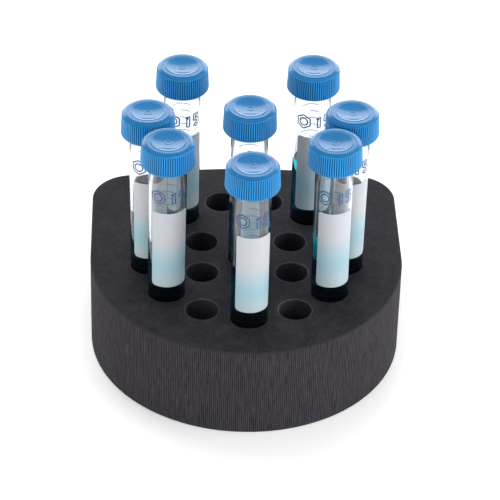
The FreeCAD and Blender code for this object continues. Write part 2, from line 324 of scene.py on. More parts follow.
def clearMaterial():
    # clear moulded plastic with a faint haze in its polish
    material, nodes, links, shader = newMaterial("clearTubePlastic")
    look = clearLook
    haze = objectNoise(nodes, links, look["hazeScale"], 4, 0.6)
    shader.inputs["Base Color"].default_value = (*look["tint"], 1)
    shader.inputs["IOR"].default_value = look["ior"]
    shader.inputs["Transmission Weight"].default_value = 1
    links.new(mapRange(nodes, links, haze, 0.35, 0.7, *look["roughness"]), shader.inputs["Roughness"])
    bump(nodes, links, shader, haze, 0.03, 0.0001)
    return material


liquidLook = dict(tint=[(0.04, 0.72, 0.86), (0.06, 0.77, 0.90)], ior=1.33, swirlScale=90)


def liquidMaterial():
    # clear cyan liquid, slightly deeper and paler in slow swirls
    material, nodes, links, shader = newMaterial("cyanLiquid")
    look = liquidLook
    swirl = objectNoise(nodes, links, look["swirlScale"], 2)
    tint = ramp(nodes, links, swirl, [(0.3, look["tint"][0]), (0.7, look["tint"][1])])
    links.new(tint, shader.inputs["Base Color"])
    shader.inputs["IOR"].default_value = look["ior"]
    shader.inputs["Roughness"].default_value = 0.0
    shader.inputs["Transmission Weight"].default_value = 1
    return material


# painted light: the tones below the liquid's level stand in for light that comes through the liquid behind
# the label
labelLook = dict(
    aboveLiquid=(0.54, 0.553, 0.592), paintedLiquidLightTop=(0.43, 0.55, 0.60), paintedLiquidLight=(0.34, 0.54, 0.62), paintedLiquidLightLow=(0.52, 0.62, 0.66),
    blendHeight=5 * mm, grainScale=1400,
)


def labelMaterial(number, low, level, high):
    # painted light: the light through the liquid is painted as a bluish tint below its level, paler toward
    # the bottom
    material, nodes, links, shader = newMaterial(f"whiteLabel{number}")
    look = labelLook
    place = nodes.new("ShaderNodeTexCoord")
    split = nodes.new("ShaderNodeSeparateXYZ")
    links.new(place.outputs["Object"], split.inputs["Vector"])
    rise = mapRange(nodes, links, split.outputs["Z"], low, high, 0, 1)
    edge = (level - low) / (high - low)
    blend = look["blendHeight"] / 2 / (high - low)
    tint = ramp(nodes, links, rise, [
        (0.0, look["paintedLiquidLightLow"]), (edge * 0.55, look["paintedLiquidLight"]),
        (edge - blend, look["paintedLiquidLightTop"]), (edge + blend, look["aboveLiquid"]),
    ])
    links.new(tint, shader.inputs["Base Color"])
    grain = objectNoise(nodes, links, look["grainScale"], 3)
    links.new(mapRange(nodes, links, grain, 0.3, 0.7, 0.45, 0.6), shader.inputs["Roughness"])
    bump(nodes, links, shader, grain, 0.1, 0.00005)
    return material


def plainMaterial(name, dark, light, scale, roughness):
    # matt finish, its tone varied by a fine grain
    material, nodes, links, shader = newMaterial(name)
    grain = objectNoise(nodes, links, scale, 3)
    links.new(ramp(nodes, links, grain, [(0.3, dark), (0.7, light)]), shader.inputs["Base Color"])
    shader.inputs["Roughness"].default_value = roughness
    bump(nodes, links, shader, grain, 0.1, 0.00005)
    return material


foamSkin = foamMaterial("foamSkin", foamLook["skin"], False)
foamCut = foamMaterial("foamCutFace", foamLook["cut"], True)
foamBored = foamMaterial("foamBoredWall", foamLook["bored"], False)
# painted highlight: the wells' rounded top edges take lighter foam tones
foamRimHighlight = foamMaterial("foamWellRimPaintedHighlight", foamLook["rim"], False)
capFinish = capMaterial()
clearFinish = clearMaterial()
liquidFinish = liquidMaterial()
linerFinish = plainMaterial("linerFoam", (0.72, 0.72, 0.70), (0.82, 0.82, 0.80), 900, 0.7)
printFinish = plainMaterial("bluePrint", (0.03, 0.08, 0.20), (0.05, 0.12, 0.27), 900, 0.5)
print("materials made")


block = dict(
    cornerRadius=18.2 * mm, backBow=253 * mm, seatGap=0.15 * mm, edgeRound=0.7 * mm, rimRound=0.55 * mm,
    pathStep=0.7 * mm, rowStep=1.4 * mm, wellColumns=72, topStep=1.8 * mm,
    streakDepth=0.03 * mm, topWave=0.07 * mm,
)


def blockPath():
    # plan of the block's side as points and outward normals: a half circle round the front, straight sides,
    # corner arcs that touch both side and back, and a back on one large circle
    high = nodeBox("foam_block")[1]
    radius, back = high[0], high[1]
    corner, bow = block["cornerRadius"], block["backBow"]
    bowCentre = back - bow
    across = radius - corner
    along = bowCentre + math.sqrt((bow - corner) ** 2 - across**2)
    swing = math.atan2(along - bowCentre, across)
    points, normals = [], []

    def addArc(x, y, reach, first, last):
        count = max(2, round(reach * (last - first) / block["pathStep"]))
        turn = np.linspace(first, last, count, endpoint=False)
        outward = np.stack([np.cos(turn), np.sin(turn)], -1)
        points.append(np.array([x, y]) + reach * outward)
        normals.append(outward)

    def addLine(x, y0, y1):
        count = max(2, round(abs(y1 - y0) / block["pathStep"]))
        points.append(np.stack([np.full(count, x), np.linspace(y0, y1, count, endpoint=False)], -1))
        normals.append(np.tile([math.copysign(1, x), 0.0], (count, 1)))

    addArc(0, 0, radius, -math.pi, 0)
    addLine(radius, 0, along)
    addArc(across, along, corner, 0, swing)
    addArc(0, bowCentre, bow, swing, math.pi - swing)
    addArc(-across, along, corner, math.pi - swing, math.pi)
    addLine(-radius, along, 0)
    return np.concatenate(points), np.concatenate(normals)


def wells():
    # centre at mid-height, sideways drift of the centre with height, and radius,
    # for the record's bores and then for the tubes' seats
    found = []
    for mount in record["mounts"]:
        if mount["kind"] == "bore":
            found.append((np.array(mount["pos_m"][:2]), np.zeros(2), mount["dims"]["r_mm"] * mm))
    for number in tubeNumbers:
        turn, foot = standing(number)
        drift = turn[:2, 2] / turn[2, 2]
        middle = foot[:2] + drift * (pivotHeight - foot[2])
        found.append((middle, drift, tubeLook["radius"] + block["seatGap"]))
    return found


def gapTo(spots, rim):
    # distance from each spot to the nearest rim point, taken over a block of rim points at a time
    nearest = np.full(len(spots), np.inf)
    for part in np.array_split(rim, 20):
        gaps = np.linalg.norm(spots[:, None, :] - part[None, :, :], axis=2).min(1)
        nearest = np.minimum(nearest, gaps)
    return nearest


def insideLoop(spots, loop):
    # even-odd test of many points against a closed loop: an odd number of its edges lies on the +X side
    x0, y0 = loop.T
    x1, y1 = np.roll(loop, -1, 0).T
    rise = np.where(y1 != y0, y1 - y0, 1e-12)
    found = []
    for part in np.array_split(spots, 20):
        x, y = part[:, :1], part[:, 1:]
        spans = (y0 > y) != (y1 > y)
        crossed = spans & (x < x0 + (y - y0) * (x1 - x0) / rise)
        found.append(crossed.sum(1) % 2 == 1)
    return np.concatenate(found)


def fillBetween(outer, loops, height, step, wave):
    # sheet between an outer loop and hole loops: a constrained Delaunay mesh over staggered inner points.
    # Its height is the face's, plus a sum of slow sines of x and y that fades out near every rim.
    edges, points = [], []
    for loop in [outer, *loops]:
        first = sum(len(part) for part in points)
        count = len(loop)
        edges += [(first + spot, first + (spot + 1) % count) for spot in range(count)]
        points.append(loop)
    rim = np.concatenate(points)
    low, high = outer.min(0), outer.max(0)
    columns = np.arange(low[0], high[0], step)
    rows = np.arange(low[1], high[1], step * 0.866)  # closer than the columns, for even-sided triangles
    across, along = np.meshgrid(columns, rows, indexing="xy")
    across = across + (np.arange(across.shape[0]) % 2)[:, None] * step / 2
    inner = np.stack([across.ravel(), along.ravel()], -1)
    inner = inner[gapTo(inner, rim) > step * 0.6]
    every = np.concatenate([rim, inner])
    holes = [loop.mean(0) for loop in loops]
    reach = [np.linalg.norm(loop - loop.mean(0), axis=1).mean() for loop in loops]
    flat, _, triangles, *_ = delaunay_2d_cdt([Vector(spot) for spot in every.tolist()], edges, [], 0, 1e-7)
    flat = np.array([tuple(spot) for spot in flat])
    triangles = np.array(triangles)
    middle = flat[triangles].mean(1)
    keep = insideLoop(middle, outer)
    for centre, radius in zip(holes, reach):
        keep &= np.linalg.norm(middle - centre, axis=1) > radius * 0.98
    fromRim = ease(0, 3 * mm, gapTo(flat, rim)) if wave else 1.0
    ripple = np.sin(flat[:, 0] * 190 + 1.3) * np.sin(flat[:, 1] * 160) - 0.6 * np.sin(flat @ [90, 140])
    lift = height + wave * fromRim * ripple
    return np.column_stack([flat, lift]), triangles[keep]


def makeBlock():
    # side: the plan's path carried up a profile with rounded edges, and moved along its normals by a sum of
    # sines; wells: that same rounding top and bottom round a bore; both flat faces: sheets between their rims
    top = nodeBox("foam_block")[1][2]
    path, outward = blockPath()
    count = len(path)
    bend = np.radians(np.linspace(0, 90, 5))
    rounding = block["edgeRound"]
    rows = round((top - 2 * rounding) / block["rowStep"])
    bottomRows = [(rounding * (1 - math.sin(a)), rounding * (1 - math.cos(a))) for a in bend]
    sideRows = [(0.0, z) for z in np.linspace(rounding, top - rounding, rows)[1:-1]]
    topRows = [(rounding * (1 - math.cos(a)), top - rounding * (1 - math.sin(a))) for a in bend]
    profile = np.array(bottomRows + sideRows + topRows)
    length = np.cumsum(np.linalg.norm(np.diff(path, axis=0, append=path[:1]), axis=1))
    waves = np.sin(length * 2100) + 0.8 * np.sin(length * 1270 + 0.7) + 0.7 * np.sin(length * 640 + 2.1)
    slow = np.sin(profile[:, 1] * 70)[:, None] * np.sin(length * 300)[None, :]
    onSide = ease(0, 2 * mm, profile[:, 1])[:, None] * ease(0, 2 * mm, top - profile[:, 1])[:, None]
    proud = -block["streakDepth"] * (0.6 + 0.5 * (waves[None, :] * 0.4 + 0.3 * slow)) * onSide
    reach = -profile[:, 0][:, None] + proud
    x = path[:, 0][None, :] + outward[:, 0][None, :] * reach
    y = path[:, 1][None, :] + outward[:, 1][None, :] * reach
    z = np.broadcast_to(profile[:, 1][:, None], x.shape)
    points = [np.stack([x, y, z], -1).reshape(-1, 3)]
    faces = bandFaces(len(profile), count)
    regions = [np.full(len(faces), 1)]
    total = len(points[0])
    innerPath = path - outward * rounding
    columns = block["wellColumns"]
    angle = ringAngles(columns)
    circle = np.stack([np.cos(angle), np.sin(angle)], -1)
    loops = {top: [], 0.0: []}
    for centre, drift, radius in wells():
        rim = block["rimRound"]
        lowArc = [(radius + rim * (1 - math.sin(a)), rim * (1 - math.cos(a))) for a in bend]
        wall = [(radius, level) for level in np.linspace(rim, top - rim, 14)[1:-1]]
        highArc = [(radius + rim * (1 - math.cos(a)), top - rim * (1 - math.sin(a))) for a in bend]
        shape = np.array(lowArc + wall + highArc)
        ring = roundPoints(shape[:, :1] * np.ones(columns), shape[:, 1:])
        ring[:, :2] += centre + (ring[:, 2:] - pivotHeight) * drift
        points.append(ring)
        bored = bandFaces(len(shape), columns, total)
        faces += insideOut(bored)
        # the rounded top edge of each well takes the painted highlight's material
        highlitRimFaces = (len(highArc) - 1) * columns
        regions += [np.full(len(bored) - highlitRimFaces, 2), np.full(highlitRimFaces, 3)]
        total += len(ring)
        for height, found in loops.items():
            found.append(centre + (height - pivotHeight) * drift + (radius + rim) * circle)
    for height, wave, upward in ((top, block["topWave"], True), (0.0, 0.0, False)):
        sheet, triangles = fillBetween(innerPath, loops[height], height, block["topStep"], wave)
        points.append(sheet)
        order = triangles if upward else triangles[:, ::-1]
        faces += (order + total).tolist()
        regions.append(np.zeros(len(order), int))
        total += len(sheet)
    every, node = np.concatenate(points), "foam_block"
    piece = makePiece("foamBlock", every, faces, "rack", foamSkin, 50, [node])
    for finish in (foamCut, foamBored, foamRimHighlight):
        piece.data.materials.append(finish)
    piece.data.polygons.foreach_set("material_index", np.concatenate(regions).astype(np.int32))
    # distance along the side at each corner of the side's quads: the closing quad runs on to the full length
    start = np.append(0, length[:-1])
    across = np.tile(np.stack([start, length, length, start], -1), (len(profile) - 1, 1)).ravel()
    sideMap = np.zeros((len(piece.data.loops), 2), np.float32)
    sideMap[:len(across), 0] = across
    piece.data.uv_layers.new(name="alongSide").data.foreach_set("uv", sideMap.ravel())
    weld(piece, 0.01 * mm)
    return piece


def weld(piece, distance):
    # joins the rims of the separately made surfaces, and counts the edges that don't have two faces
    mesh = piece.data
    work = bmesh.new()
    work.from_mesh(mesh)
    bmesh.ops.remove_doubles(work, verts=work.verts, dist=distance)
    bmesh.ops.recalc_face_normals(work, faces=work.faces)
    work.to_mesh(mesh)
    work.free()
    used = np.empty(len(mesh.loops), np.int32)
    mesh.loops.foreach_get("edge_index", used)
    openEdges = int((np.bincount(used, minlength=len(mesh.edges)) != 2).sum())
    print(piece.name, "open edges", openEdges, "faces", len(mesh.polygons))


tubeLook = dict(
    radius=8.0 * mm, wall=1.0 * mm, coneLength=22 * mm, tipRadius=2.6 * mm, tipRound=1.8 * mm,
    columns=96, mouthRound=0.3 * mm,
    threadDepth=0.85 * mm, threadStart=2.6 * mm, threadPitch=3 * mm, threadTurns=1.35,
    ridgeBase=1.3 * mm, ridgeTip=0.6 * mm,
)


def makeTube(number):
    # turned shell: a profile up the tip, cone and wall, over the rounded mouth and down the inside, turned
    # about the tube's axis; the thread adds a helical trapezoid to the radius outside
    look = tubeLook
    bottom, mouth = heightsOf("tube")
    capLow = heightsOf("cap")[0]
    radius, wall = look["radius"], look["wall"]
    shoulder = bottom + look["coneLength"]
    tip, tipRound = look["tipRadius"], look["tipRound"]
    outer = [np.array([[tip - tipRound, bottom]])]
    outer.append(arcRows((tip - tipRound * 0.85, bottom + tipRound), tipRound, -75, 0, 7))
    outer.append(np.array([[radius - 0.02 * mm, shoulder - 0.4 * mm], [radius, shoulder + 0.6 * mm]]))
    straight = np.linspace(shoulder + 4 * mm, capLow + 0.5 * mm, 14)
    threaded = np.arange(capLow + 0.8 * mm, mouth - 0.6 * mm, 0.15 * mm)
    heights = np.concatenate([straight, threaded])
    outer.append(np.stack([np.full(len(heights), radius), heights], -1))
    lip = look["mouthRound"]
    over = np.concatenate([
        arcRows((radius - lip, mouth - lip), lip, 0, 90, 4),
        arcRows((radius - wall + lip, mouth - lip), lip, 90, 180, 4),
    ])
    bore = radius - wall
    inner = np.array([
        [bore, mouth - 20 * mm], [bore, mouth - 50 * mm], [bore, shoulder + 1 * mm],
        [bore - 0.03 * mm, shoulder - 0.4 * mm], [tip - wall / 2, bottom + 1.5 * wall + 0.6 * mm],
        [tip - wall, bottom + 1.5 * wall + 0.1 * mm],
    ])
    profile = np.concatenate([*outer, over, inner])
    columns = look["columns"]
    turn = ringAngles(columns)[None, :]
    reach = profile[:, :1] * np.ones((1, columns))
    ridge = dict(
        start=capLow + look["threadStart"], pitch=look["threadPitch"], turns=look["threadTurns"],
        base=look["ridgeBase"], tip=look["ridgeTip"], fade=0.06,
    )
    outside = np.arange(len(profile))[:, None] < sum(len(part) for part in outer)
    reach = reach + outside * look["threadDepth"] * helixRidge(turn, profile[:, 1:], ridge)
    points = roundPoints(reach, profile[:, 1:])
    total = len(points)
    poles = np.array([[0, 0, bottom], [0, 0, bottom + 1.5 * wall]])
    faces = bandFaces(len(profile), columns)
    faces += fanFaces(total, 0, columns, True)
    faces += fanFaces(total + 1, (len(profile) - 1) * columns, columns, False)
    points = stand(number, np.concatenate([points, poles]))
    body = node = f"tube_{number}"
    return makePiece(f"clearTube{number}", points, faces, body, clearFinish, 60, [node])


def makeLiquid(number):
    # turned filling: a cone and a cylinder a hair into the wall, and a surface that climbs toward the wall
    # as an exponential of the distance from it
    look = tubeLook
    level = liquidLevel(number)
    bottom = heightsOf("tube")[0]
    reach = look["radius"] - look["wall"] + 0.02 * mm
    shoulder = bottom + look["coneLength"]
    climb = 0.7 * mm
    side = [[look["tipRadius"] - look["wall"] + 0.02 * mm, bottom + 1.5 * look["wall"] + 0.05 * mm],
            [look["tipRadius"] - look["wall"] / 2 + 0.02 * mm, bottom + 1.5 * look["wall"] + 0.6 * mm],
            [reach - 0.03 * mm, shoulder - 0.4 * mm], [reach, shoulder + 1 * mm]]
    side += [[reach, height] for height in np.linspace(shoulder + 8 * mm, level - 0.5 * mm, 8)]
    inward = np.linspace(0, 1, 14)[:-1]
    rise = climb * np.exp(-inward**1.6 * reach / (0.8 * mm))
    surface = np.stack([reach * (1 - inward**1.6), level - 0.25 * mm + rise], -1)
    profile = np.concatenate([side, surface])
    columns = look["columns"]
    points = roundPoints(profile[:, :1] * np.ones((1, columns)), profile[:, 1:])
    total = len(points)
    poles = np.array([[0, 0, side[0][1] - 0.03 * mm], [0, 0, level - 0.25 * mm]])
    faces = bandFaces(len(profile), columns)
    faces += fanFaces(total, 0, columns, True)
    faces += fanFaces(total + 1, (len(profile) - 1) * columns, columns, False)
    points = stand(number, np.concatenate([points, poles]))
    name, body, node = f"liquidFill{number}", f"tube_{number}", f"liquid_{number}"
    return makePiece(name, points, faces, body, liquidFinish, 60, [node])


label = dict(span=122.0, turn=-79.0, thickness=0.09 * mm, corner=1.6 * mm, columns=48)


def makeLabel(number):
    # patch of a cylinder with rounded corners: each row is a closed loop, along the outer face and back along
    # the inner one, and near the top and bottom it is shorter by a circle's drop
    look = label
    bottom, top = heightsOf("label")
    level = liquidLevel(number)
    radius = tubeLook["radius"] + 0.01 * mm
    corner = look["corner"]
    bend = np.radians(np.linspace(0, 90, 7))
    near = corner * (1 - np.sin(bend[::-1]))
    middle = np.linspace(bottom + corner, top - corner, 22)[1:-1]
    heights = np.concatenate([bottom + near, middle, top - near[::-1]])
    end = np.minimum(heights - bottom, top - heights)
    trim = corner - np.sqrt(np.maximum(corner**2 - np.maximum(corner - end, 0) ** 2, 0))
    half = math.radians(look["span"] / 2) - trim / radius
    share = np.linspace(-1, 1, look["columns"])
    there = half[:, None] * share[None, :] + math.radians(look["turn"])
    angle = np.concatenate([there, there[:, ::-1]], 1)
    reach = np.concatenate([np.full_like(there, radius + look["thickness"]), np.full_like(there, radius)], 1)
    points = [reach * np.cos(angle), reach * np.sin(angle), np.broadcast_to(heights[:, None], reach.shape)]
    points = stand(number, np.stack(points, -1).reshape(-1, 3))
    around = angle.shape[1]
    faces = bandFaces(len(heights), around)
    spot = np.arange(look["columns"] - 1)
    back = around - 1 - spot
    last = (len(heights) - 1) * around
    faces += np.stack([spot, back, back - 1, spot + 1], -1).tolist()
    faces += np.stack([last + spot, last + spot + 1, last + back - 1, last + back], -1).tolist()
    finish = labelMaterial(number, bottom, level, top)
    name, body, node = f"writeOnLabel{number}", f"tube_{number}", f"label_{number}"
    return makePiece(name, points, faces, body, finish, 60, [node])


mark = dict(
    height=97.2 * mm, size=6.8 * mm, stroke=0.58 * mm, thickness=0.04 * mm, ringTurn=-120.0,
    figureTurns=(-72.0, -43.0), figureHeight=5.4 * mm, figureWidth=2.9 * mm, figureStroke=1.3 * mm,
)


def ribbonFaces(rows, columns, first):
    # box-section ribbon: rows along it, four columns round its section, and both ends closed
    faces = bandFaces(rows, columns, first)
    last = first + (rows - 1) * columns
    return faces + [[first + 3, first + 2, first + 1, first], [last, last + 1, last + 2, last + 3]]


def sidesOf(path, width, closed):
    # points half a width to the left and right of a flat path
    ahead = np.roll(path, -1, 0) if closed else np.concatenate([path[1:], path[-1:]])
    behind = np.roll(path, 1, 0) if closed else np.concatenate([path[:1], path[:-1]])
    along = ahead - behind
    along = along / np.linalg.norm(along, axis=1)[:, None]
    side = np.stack([-along[:, 1], along[:, 0]], -1) * width / 2
    return path + side, path - side


def strokeOn(path, width, radius, thickness, closed=False):
    # ribbon of even width along a flat path, wrapped on a cylinder: x of the path becomes arc length round it
    left, right = sidesOf(path, width, closed)
    flat = np.stack([right, left, left, right], 1)
    reach = np.array([radius, radius, radius + thickness, radius + thickness])
    angle = flat[..., 0] / radius
    points = np.stack([reach * np.cos(angle), reach * np.sin(angle), flat[..., 1]], -1).reshape(-1, 3)
    if not closed:
        return points, ribbonFaces(len(path), 4, 0)
    row = np.arange(len(path))
    beside = (row + 1) % len(path)
    faces = []
    for corner in range(4):
        other = (corner + 1) % 4
        corners = [row * 4 + corner, row * 4 + other, beside * 4 + other, beside * 4 + corner]
        faces += np.stack(corners, -1).tolist()
    return points, faces


def gather(parts):
    # one list of points and one of quads from several
    points, faces, total = [], [], 0
    for spots, corners in parts:
        points.append(spots)
        faces += (np.array(corners) + total).tolist()
        total += len(spots)
    return np.concatenate(points), faces


def densify(corners, step, closed=False):
    # extra points along straight strokes, so that they bend with the cylinder
    stops = np.roll(corners, -1, 0) if closed else corners[1:]
    runs = []
    for start, stop in zip(corners, stops):
        count = max(1, math.ceil(np.linalg.norm(stop - start) / step))
        runs.append(start + (stop - start) * np.linspace(0, 1, count, endpoint=False)[:, None])
    return np.concatenate(runs if closed else [*runs, corners[-1:]])


def outlineOf(path, width):
    # closed outline round a flat path: out along its left side and back along its right
    left, right = sidesOf(path, width, False)
    return np.concatenate([left, right[::-1]])


def makeMark(number):
    # generic mark: a hexagon ring with a dot ring in it, and the size in millilitres as two outlined figures
    look = mark
    radius = tubeLook["radius"] + 0.01 * mm
    size, height = look["size"], look["height"]
    middle = np.array([math.radians(look["ringTurn"]) * radius, height])
    turn = np.radians(np.arange(6) * 60 + 30)
    hexagon = densify(middle + size / 2 * np.stack([np.cos(turn), np.sin(turn)], -1), 0.4 * mm, True)
    angle = ringAngles(28)
    circle = middle + size * 0.27 * np.stack([np.cos(angle), np.sin(angle)], -1)
    tall, wide = look["figureHeight"] / 2, look["figureWidth"] / 2
    one = np.array([[-0.3, 0.55], [0.1, 0.9], [0.1, -1.0]]) * [wide, tall]
    bowl = np.radians(np.linspace(120, -140, 16))
    bowlPoints = np.stack([0.1 + 0.75 * np.cos(bowl), -0.38 + 0.55 * np.sin(bowl)], -1)
    five = np.concatenate([[[0.8, 0.95], [-0.55, 0.95], [-0.6, 0.1]], bowlPoints]) * [wide, tall]
    parts = [strokeOn(hexagon, look["stroke"], radius, look["thickness"], True)]
    parts.append(strokeOn(circle, look["stroke"], radius, look["thickness"], True))
    for path, at in zip((one, five), look["figureTurns"]):
        ring = outlineOf(path, look["figureStroke"]) + [math.radians(at) * radius, height]
        parts.append(strokeOn(densify(ring, 0.4 * mm, True), look["stroke"], radius, look["thickness"], True))
    points, faces = gather(parts)
    name, body = f"printedMark{number}", f"tube_{number}"
    return makePiece(name, stand(number, points), faces, body, printFinish)


scale = dict(
    turn=95.0, longSpan=70.0, shortSpan=34.0, stroke=0.25 * mm, perMillilitre=6.5 * mm, top=15, lowest=3,
)


def makeScale(number):
    # graduation lines round the back: a long one for each millilitre and a short one between
    look = scale
    radius = tubeLook["radius"] + 0.01 * mm
    full = heightsOf("cap")[0] - 0.8 * mm
    parts = []
    for step in range((look["top"] - look["lowest"]) * 2 + 1):
        height = full - step * look["perMillilitre"] / 2
        span = look["longSpan"] if step % 2 == 0 else look["shortSpan"]
        start = look["turn"] - look["longSpan"] / 2
        angle = np.radians(np.linspace(start, start + span, 20)) * radius
        path = np.stack([angle, np.full(20, height)], -1)
        parts.append(strokeOn(path, look["stroke"], radius, mark["thickness"]))
    points, faces = gather(parts)
    name, body = f"graduation{number}", f"tube_{number}"
    return makePiece(name, stand(number, points), faces, body, printFinish)


cap = dict(
    ribCount=72, perRib=8, coarse=144, ribDepth=0.4 * mm, ribMargin=0.35 * mm, ribFade=0.3 * mm,
    bore=9.1 * mm, roof=1.8 * mm, edgeRound=0.25 * mm,
    ringRadius=9.5 * mm, ringRound=0.3 * mm, shoulderDrop=1.5 * mm, taper=0.4 * mm,
    dishRadius=7.0 * mm, dishDepth=1.0 * mm, dishLip=0.3 * mm, lineDepth=0.16 * mm, lineWidth=0.22 * mm,
    threadDepth=0.85 * mm, threadStart=1.1 * mm, threadPitch=3 * mm, threadTurns=1.4,
    ridgeBase=1.3 * mm, ridgeTip=0.6 * mm,
    embossHeight=0.12 * mm,
)


def ribShare(columns):
    # height of the ribs round the skirt: a half sine for each rib, raised to a power and cut off at 1,
    # which leaves narrow grooves between
    phase = np.arange(columns) % cap["perRib"] / cap["perRib"]
    return np.clip(1.15 * np.sin(math.pi * phase) ** 1.2, 0, 1)


def emboss(radius, angle):
    # generic raised marks in the dish: a gate ring, an arc toward the front, a dot at each end of it
    front = np.abs((angle + math.pi / 2 + math.pi) % (2 * math.pi) - math.pi)
    soft = 0.18 * mm

    def line(where, half):
        return 1 - ease(half, half + soft, np.abs(radius - where))

    gate = line(1.3 * mm, 0.1 * mm)
    arc = line(5.5 * mm, 0.12 * mm) * (1 - ease(math.radians(42), math.radians(45), front))
    innerArc = line(4.6 * mm, 0.08 * mm) * (1 - ease(math.radians(26), math.radians(29), front))
    away = np.hypot(radius - 5.5 * mm, radius * (front - math.radians(58)))
    dot = 1 - ease(0.3 * mm, 0.3 * mm + soft, away)
    return np.maximum(np.maximum(gate, arc), np.maximum(innerArc, dot))


def makeCap(number):
    # one closed turned shell: a ribbed skirt, an elliptical shoulder and a round bead on fine columns, then a
    # spherical dish and the inside, with the thread as a helical trapezoid, on coarse ones
    look = cap
    bottom, top = heightsOf("cap")
    low, high = nodeBox("cap_1")
    outerRadius = (high[0] - low[0]) / 2
    skirt = outerRadius - look["ribDepth"]
    fine = look["ribCount"] * look["perRib"]
    coarse = look["coarse"]
    edge = look["edgeRound"]
    shoulder = top - look["shoulderDrop"]
    ribTop = shoulder + 0.1 * mm
    ringRound = look["ringRound"]
    foot = np.array([[look["bore"] + 0.8 * mm, bottom]])
    corner = arcRows((skirt - edge, bottom + edge), edge, -90, 0, 4)
    lowRib = bottom + look["ribMargin"]
    wall = np.concatenate([
        lowRib + look["ribFade"] * np.linspace(0, 1, 4), np.linspace(lowRib + 1.2 * mm, ribTop - 1 * mm, 6),
        ribTop - look["ribFade"] * np.linspace(2, 0, 5),
    ])
    step = (look["ringRadius"] + 0.12 * mm, top - 1.6 * ringRound)
    sweep = np.radians(np.linspace(0, 84, 8))
    wide, tall = skirt - step[0], step[1] - ribTop
    curve = np.stack([step[0] + wide * np.cos(sweep), ribTop + tall * np.sin(sweep)], -1)
    bead = arcRows((look["ringRadius"] - ringRound, top - ringRound), ringRound, 0, 90, 5)
    outside = np.concatenate([foot, corner, np.stack([np.full(len(wall), skirt), wall], -1), curve[1:], bead])
    heights = outside[:, 1:]
    fade = ease(lowRib, lowRib + look["ribFade"], heights)
    fade = fade * (1 - ease(ribTop - 0.1 * mm, ribTop + 0.35 * mm, heights))
    onWall = outside[:, :1] > skirt - 0.25 * mm
    lean = look["taper"] * ease(bottom, ribTop + 1 * mm, heights)
    lean = lean * ease(look["ringRadius"], skirt, outside[:, :1])
    reach = outside[:, :1] - lean + look["ribDepth"] * fade * onWall * ribShare(fine)[None, :]
    points = [roundPoints(reach, heights)]
    faces = bandFaces(len(outside), fine)
    total = len(points[0])

    dish, lip = look["dishRadius"], look["dishLip"]
    ball = (dish**2 + look["dishDepth"] ** 2) / (2 * look["dishDepth"])
    flat = np.linspace(look["ringRadius"] - ringRound - 0.2 * mm, dish + lip, 16)
    inDish = np.linspace(dish - lip, 0.2 * mm, 44)

    def bowl(radius):
        return top - look["dishDepth"] + ball - np.sqrt(ball**2 - radius**2)

    lipRows = np.linspace(dish + lip, dish - lip, 6)[1:-1]
    lipHeights = top + (bowl(dish - lip) - top) * ((dish + lip - lipRows) / (2 * lip)) ** 2
    radii = np.concatenate([flat, lipRows, inDish])
    line = np.maximum(0, 1 - np.abs(flat - dish - 2 * lip) / look["lineWidth"])
    levels = np.concatenate([top - look["lineDepth"] * line, lipHeights, bowl(inDish)])
    angle = ringAngles(coarse)[None, :]
    raised = emboss(radii[:, None], angle) * (radii[:, None] < dish - lip)
    levels = levels[:, None] + look["embossHeight"] * raised
    points.append(roundPoints(radii[:, None] * np.ones((1, coarse)), levels))
    faces += bandFaces(len(radii), coarse, total)
    faces += stepFaces((len(outside) - 1) * fine, fine, total, coarse, True)
    points.append(np.array([[0, 0, bowl(0.0)]]))
    lastRing = total + (len(radii) - 1) * coarse
    total += len(radii) * coarse
    faces += fanFaces(total, lastRing, coarse, False)
    total += 1

    roofUnder = top - look["roof"]
    bore, lastRow = look["bore"], roofUnder - 0.3 * mm
    boreRows = np.concatenate([[bottom + 0.25 * mm], np.arange(bottom + 0.45 * mm, lastRow, 0.18 * mm)])
    entry = np.array([[bore + 0.3 * mm, bottom], [bore + 0.08 * mm, bottom + 0.08 * mm]])
    roof = np.array([[bore, roofUnder - 0.15 * mm], [bore - 0.15 * mm, roofUnder], [4 * mm, roofUnder]])
    inside = np.concatenate([entry, np.stack([np.full(len(boreRows), bore), boreRows], -1), roof])
    ridge = dict(start=bottom + look["threadStart"], pitch=look["threadPitch"], turns=look["threadTurns"],
                 base=look["ridgeBase"], tip=look["ridgeTip"], fade=0.06)
    onBore = inside[:, :1] >= bore - 0.01 * mm
    inner = inside[:, :1] - look["threadDepth"] * helixRidge(angle, inside[:, 1:], ridge) * onBore
    points.append(roundPoints(inner, inside[:, 1:]))
    faces += insideOut(bandFaces(len(inside), coarse, total))
    faces += stepFaces(0, fine, total, coarse, False)
    lastRing = total + (len(inside) - 1) * coarse
    total += len(inside) * coarse
    points.append(np.array([[0, 0, roofUnder]]))
    faces += fanFaces(total, lastRing, coarse, True)
    every = stand(number, np.concatenate(points))
    # painted shade: a point attribute darkens the top above its last 1.2 mm and the grooves between the ribs
    topFrom = stand(number, [[0, 0, top - 1.2 * mm]])[0, 2]
    shade = np.where(every[:, 2] > topFrom, capLook["paintedTopShade"], 0).astype(np.float32)
    grooves = fade * onWall * (1 - ribShare(fine)[None, :])
    shade[:grooves.size] = np.maximum(shade[:grooves.size], grooves.ravel())
    body = node = f"cap_{number}"
    piece = makePiece(f"screwCap{number}", every, faces, body, capFinish, 40, [node])
    piece.data.attributes.new("paintedGrooveAndTopShade", "FLOAT", "POINT").data.foreach_set("value", shade)
    return piece


